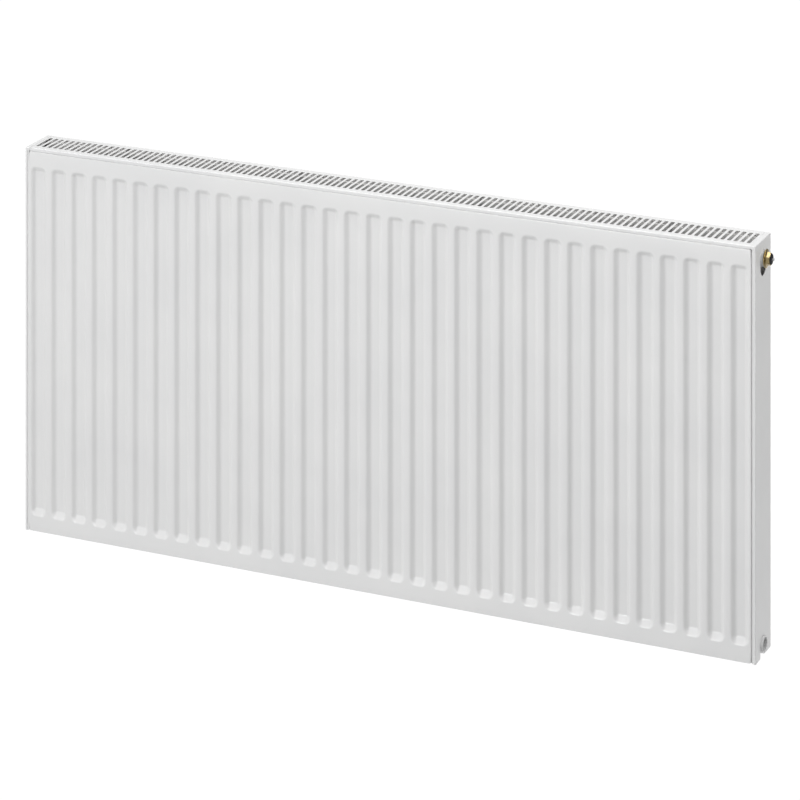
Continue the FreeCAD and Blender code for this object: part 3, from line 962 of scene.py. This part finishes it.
MATERIALS = {
    "white_enamel": enamel_material(),
    "inner_primer": primer_material(),
    "brass": brass_material(),
    "black_plastic": plastic_material(),
    "seal_rubber": rubber_material(),
    "spring_steel": steel_material("spring_steel", (0.50, 0.50, 0.51), (0.66, 0.66, 0.67), 900.0),
    "bright_steel": steel_material("bright_steel", (0.42, 0.42, 0.43), (0.68, 0.68, 0.70), 1500.0),
}


def finish_piece(obj, node, body, slot):
    """Gives a piece its material and its body, and hides the CAD node that it stands for."""
    obj.data.materials.clear()
    obj.data.materials.append(MATERIALS[slot])
    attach(obj, body)
    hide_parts(node)


def dress_cad_nodes():
    """CAD nodes that stay visible get the procedural materials of their slots."""
    slots = {part["node"]: part["material_slot"] for part in frame["record"]["subparts"]}
    for node in ("front_inner_sheet", "rear_inner_sheet"):
        mesh = frame["nodes"][node].data
        mesh.materials.clear()
        mesh.materials.append(MATERIALS[slots[node]])


# ---------------------------------------------------------------- stage, light and camera

# How bright the surround is, by the side that it lights from
SKY = {"-X": 0.86, "+Y": 0.40}
# Glow of the floor behind the radiator, in front of it and to its right
FLOOR_BEHIND = 1.04
FLOOR_FRONT = 0.42
FLOOR_RIGHT = 0.25
# Where that glow changes, along Y and along X
FRONT_FADE = (0.2, -0.4)
RIGHT_FADE = (0.9, 1.8)
# Name, place, size and watts of each area light; all face the same point
LIGHT_AIM = (0.0, 0.0, 0.3)
LIGHTS = [
    ("front_key", (-0.6, -3.4, 1.1), (1.2, 1.2), 45.5),
    ("front_fill", (0.4, -3.5, 0.8), (1.2, 1.2), 17.5),
    ("left_key", (-2.6, -2.4, 0.7), (1.2, 1.2), 15.0),
    ("top_light", (-0.6, 0.2, 3.0), (3.0, 2.0), 50.0),
    ("right_light", (2.8, 0.6, 2.1), (1.6, 1.6), 38.0),
    ("right_fill", (2.4, -1.2, 2.2), (1.6, 1.6), 24.0),
]


def make_stage():
    """Glowing floor that lights the radiator from below: white behind the object and dimmer in front of it
    and to its right.
    """
    size = 30.0
    z = -0.6
    corners = [(-size, -size, z), (size, -size, z), (size, size, z), (-size, size, z)]
    floor = link_mesh("floor", corners, [(0, 1, 2, 3)])
    material, nodes, links, shader = new_material("glowing_floor")
    shader.inputs["Base Color"].default_value = (0.0, 0.0, 0.0, 1.0)
    shader.inputs["Roughness"].default_value = 1.0
    shader.inputs["Specular IOR Level"].default_value = 0.0
    shader.inputs["Emission Color"].default_value = (1.0, 1.0, 1.0, 1.0)
    place = nodes.new("ShaderNodeSeparateXYZ")
    links.new(object_coords(nodes), place.inputs[0])
    front = remap(nodes, links, place.outputs["Y"], FLOOR_BEHIND, FLOOR_FRONT, *FRONT_FADE)
    right = remap(nodes, links, place.outputs["X"], FLOOR_BEHIND, FLOOR_RIGHT, *RIGHT_FADE)
    # This glow is a light on the radiator, weaker in front of it and to its right
    glow = nodes.new("ShaderNodeMath")
    glow.operation = "MINIMUM"
    links.new(front, glow.inputs[0])
    links.new(right, glow.inputs[1])
    links.new(glow.outputs[0], shader.inputs["Emission Strength"])
    floor.data.materials.append(material)

    world = bpy.data.worlds.new("studio")
    bpy.context.scene.world = world
    world.use_nodes = True
    nodes = world.node_tree.nodes
    links = world.node_tree.links
    direction = nodes.new("ShaderNodeTexCoord").outputs["Generated"]
    total = None
    for axis, strength in SKY.items():
        facing = nodes.new("ShaderNodeVectorMath")
        facing.operation = "DOT_PRODUCT"
        unit = [0.0, 0.0, 0.0]
        unit["XYZ".index(axis[1])] = 1.0 if axis[0] == "+" else -1.0
        facing.inputs[1].default_value = unit
        links.new(direction, facing.inputs[0])
        lobe = nodes.new("ShaderNodeMath")
        lobe.operation = "MAXIMUM"
        lobe.inputs[1].default_value = 0.0
        links.new(facing.outputs["Value"], lobe.inputs[0])
        share = nodes.new("ShaderNodeMath")
        share.operation = "MULTIPLY_ADD"
        share.inputs[1].default_value = strength
        share.inputs[2].default_value = 0.0
        links.new(lobe.outputs[0], share.inputs[0])
        if total is not None:
            links.new(total, share.inputs[2])
        total = share.outputs[0]
    nodes["Background"].inputs["Color"].default_value = (1.0, 1.0, 1.0, 1.0)
    links.new(total, nodes["Background"].inputs["Strength"])


def area_light(name, place, size, watts):
    data = bpy.data.lights.new(name, "AREA")
    data.shape = "RECTANGLE"
    data.size = size[0]
    data.size_y = size[1]
    data.energy = watts
    light = bpy.data.objects.new(name, data)
    light.location = place
    light.rotation_euler = (Vector(LIGHT_AIM) - Vector(place)).to_track_quat("-Z", "Y").to_euler()
    bpy.context.scene.collection.objects.link(light)


def make_lights():
    for name, place, size, watts in LIGHTS:
        area_light(name, place, size, watts)


def make_camera():
    """Two-point perspective: the camera looks level while the object lies low in its field."""
    yaw = 0.416770
    place = Vector((2.2167, -4.9107 + COVER_LOW.y, 2.2558))
    focal = 3590.0
    drop = 1308.8
    width = 800.0
    forward = Vector((-math.sin(yaw), math.cos(yaw), 0.0))
    right = Vector((math.cos(yaw), math.sin(yaw), 0.0))
    reach = math.hypot(focal, drop)
    centre_ray = (forward * focal - Vector((0, 0, drop))) / reach
    data = bpy.data.cameras.new("photo_camera")
    data.sensor_width = 36.0
    data.lens = 36.0 * reach / width
    data.clip_start = 0.05
    data.clip_end = 100.0
    camera = bpy.data.objects.new("photo_camera", data)
    bpy.context.scene.collection.objects.link(camera)
    rig = bpy.data.objects.new("camera_rig", None)
    bpy.context.scene.collection.objects.link(rig)
    sheared = Matrix.Identity(4)
    columns = (right, Vector((0, 0, 1)), -centre_ray, place)
    for index, column in enumerate(columns):
        for row in range(3):
            sheared[row][index] = column[row]
    camera.parent = rig
    camera.matrix_parent_inverse = sheared
    bpy.context.scene.camera = camera


make_camera()
make_panels()
make_grille()
make_covers()
make_convector()
make_ports()
make_vent_body()
make_vent_nozzle()
make_vent_spindle()
make_blanking_plug()
make_seals()
make_lugs()
make_small_parts()
dress_cad_nodes()
make_stage()
make_lights()
bpy.context.scene.view_settings.view_transform = "Standard"

bpy.context.view_layer.update()
